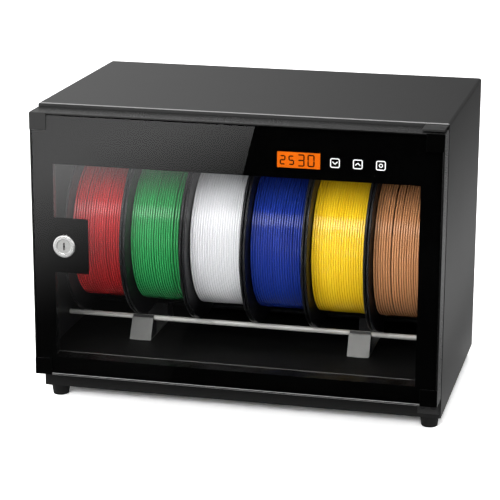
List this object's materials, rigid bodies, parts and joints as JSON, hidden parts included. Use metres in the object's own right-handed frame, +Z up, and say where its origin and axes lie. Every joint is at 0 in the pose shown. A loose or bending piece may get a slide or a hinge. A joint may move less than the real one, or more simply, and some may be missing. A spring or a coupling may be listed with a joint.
{
  "type": "filament dryer box",
  "caption": "Lockable glass-door drying cabinet that keeps a row of filament spools on turning rods, with a rear fan heater and a door display.",
  "frame": {"origin": "centre of the whole cabinet in plan, on the surface that its feet stand on", "axes": "+X to the right seen from the front, +Y towards the back, +Z up"},
  "size_m": [0.45, 0.298, 0.338],
  "materials": {
    "powder_coat": "satin black powder coat, fine texture",
    "stand_steel": "folded sheet, fine brushed",
    "zinc_screw": "zinc plated",
    "polished_rod": "polished steel",
    "foot_rubber": "moulded rubber",
    "black_nylon": "moulded nylon",
    "frame_black": "black extruded frame, satin",
    "cap_plastic": "moulded plastic, fine grain",
    "door_glass": "clear tempered glass",
    "border_print": "black print behind the glass",
    "seal_rubber": "soft magnetic gasket",
    "housing_plastic": "moulded plastic, fine grain",
    "board_green": "solder mask over circuit board",
    "fan_plastic": "moulded plastic",
    "heater_aluminium": "folded fins",
    "lcd_amber": "backlit amber display",
    "lock_chrome": "bright chrome plate",
    "spool_black": "moulded glossy black",
    "filament_red": "glossy extruded filament",
    "filament_green": "glossy extruded filament",
    "filament_white": "glossy extruded filament",
    "filament_blue": "glossy extruded filament",
    "filament_yellow": "glossy extruded filament",
    "filament_copper": "glossy extruded filament"
  },
  "bodies": {
    "cabinet": {"base_pan": "powder_coat", "board_standoffs": "zinc_screw", "cabinet_shell": "powder_coat", "dc_inlet": "housing_plastic", "dc_inlet_nut": "zinc_screw", "dryer_housing": "housing_plastic", "fan_frame": "fan_plastic", "feet": "foot_rubber", "floor_plate": "powder_coat", "foot_screws": "zinc_screw", "heater_ends": "housing_plastic", "heater_fins": "heater_aluminium", "hinge_pins": "polished_rod", "hinge_screws": "zinc_screw", "humidity_sensor": "housing_plastic", "lower_hinge_plate": "powder_coat", "rear_panel": "powder_coat", "rear_panel_screws": "zinc_screw", "rod_saddles": "black_nylon", "rod_stands": "stand_steel", "stand_screws": "zinc_screw", "supply_board": "board_green", "unit_screws": "zinc_screw", "upper_hinge_plate": "powder_coat"},
    "door": {"door_stiles": "frame_black", "door_rails": "frame_black", "corner_caps": "cap_plastic", "door_glass": "door_glass", "glass_border": "border_print", "door_seal": "seal_rubber", "hinge_bushes": "black_nylon", "control_cover": "housing_plastic", "lcd_panel": "lcd_amber", "control_board": "board_green", "lock_body": "lock_chrome", "lock_nut": "zinc_screw"},
    "lock": {"lock_plug": "lock_chrome", "lock_cam": "zinc_screw", "cam_screw": "zinc_screw"},
    "fan": {"fan_rotor": "fan_plastic"},
    "front_rod": {"front_rod": "polished_rod"},
    "rear_rod": {"rear_rod": "polished_rod"},
    "spool_1": {"spool_1": "spool_black", "filament_core_1": "filament_red", "filament_winding_1": "filament_red"},
    "spool_2": {"spool_2": "spool_black", "filament_core_2": "filament_green", "filament_winding_2": "filament_green"},
    "spool_3": {"spool_3": "spool_black", "filament_core_3": "filament_white", "filament_winding_3": "filament_white"},
    "spool_4": {"spool_4": "spool_black", "filament_core_4": "filament_blue", "filament_winding_4": "filament_blue"},
    "spool_5": {"spool_5": "spool_black", "filament_core_5": "filament_yellow", "filament_winding_5": "filament_yellow"},
    "spool_6": {"spool_6": "spool_black", "filament_core_6": "filament_copper", "filament_winding_6": "filament_copper"}
  },
  "joints": [
    {"name": "door_hinge", "type": "hinge", "parent": "cabinet", "child": "door", "pos_m": [0.219, -0.13, 0.037], "axis": [0, 0, 1], "range_deg": [0, 115]},
    {"name": "lock_turn", "type": "hinge", "parent": "door", "child": "lock", "pos_m": [-0.18775, -0.1458, 0.18645], "axis": [0, 1, 0], "range_deg": [0, 90]},
    {"name": "fan_spin", "type": "hinge", "parent": "cabinet", "child": "fan", "pos_m": [0, 0.109, 0.17361], "axis": [0, 1, 0], "continuous": true},
    {"name": "front_rod_spin", "type": "hinge", "parent": "cabinet", "child": "front_rod", "pos_m": [0, -0.0309, 0.0751], "axis": [1, 0, 0], "continuous": true},
    {"name": "rear_rod_spin", "type": "hinge", "parent": "cabinet", "child": "rear_rod", "pos_m": [0, 0.0313, 0.0751], "axis": [1, 0, 0], "continuous": true},
    {"name": "spool_1_spin", "type": "hinge", "parent": "cabinet", "child": "spool_1", "pos_m": [-0.17125, 0.0002, 0.17361], "axis": [1, 0, 0], "continuous": true},
    {"name": "spool_2_spin", "type": "hinge", "parent": "cabinet", "child": "spool_2", "pos_m": [-0.10275, 0.0002, 0.17361], "axis": [1, 0, 0], "continuous": true},
    {"name": "spool_3_spin", "type": "hinge", "parent": "cabinet", "child": "spool_3", "pos_m": [-0.03425, 0.0002, 0.17361], "axis": [1, 0, 0], "continuous": true},
    {"name": "spool_4_spin", "type": "hinge", "parent": "cabinet", "child": "spool_4", "pos_m": [0.03425, 0.0002, 0.17361], "axis": [1, 0, 0], "continuous": true},
    {"name": "spool_5_spin", "type": "hinge", "parent": "cabinet", "child": "spool_5", "pos_m": [0.10275, 0.0002, 0.17361], "axis": [1, 0, 0], "continuous": true},
    {"name": "spool_6_spin", "type": "hinge", "parent": "cabinet", "child": "spool_6", "pos_m": [0.17125, 0.0002, 0.17361], "axis": [1, 0, 0], "continuous": true}
  ]
}
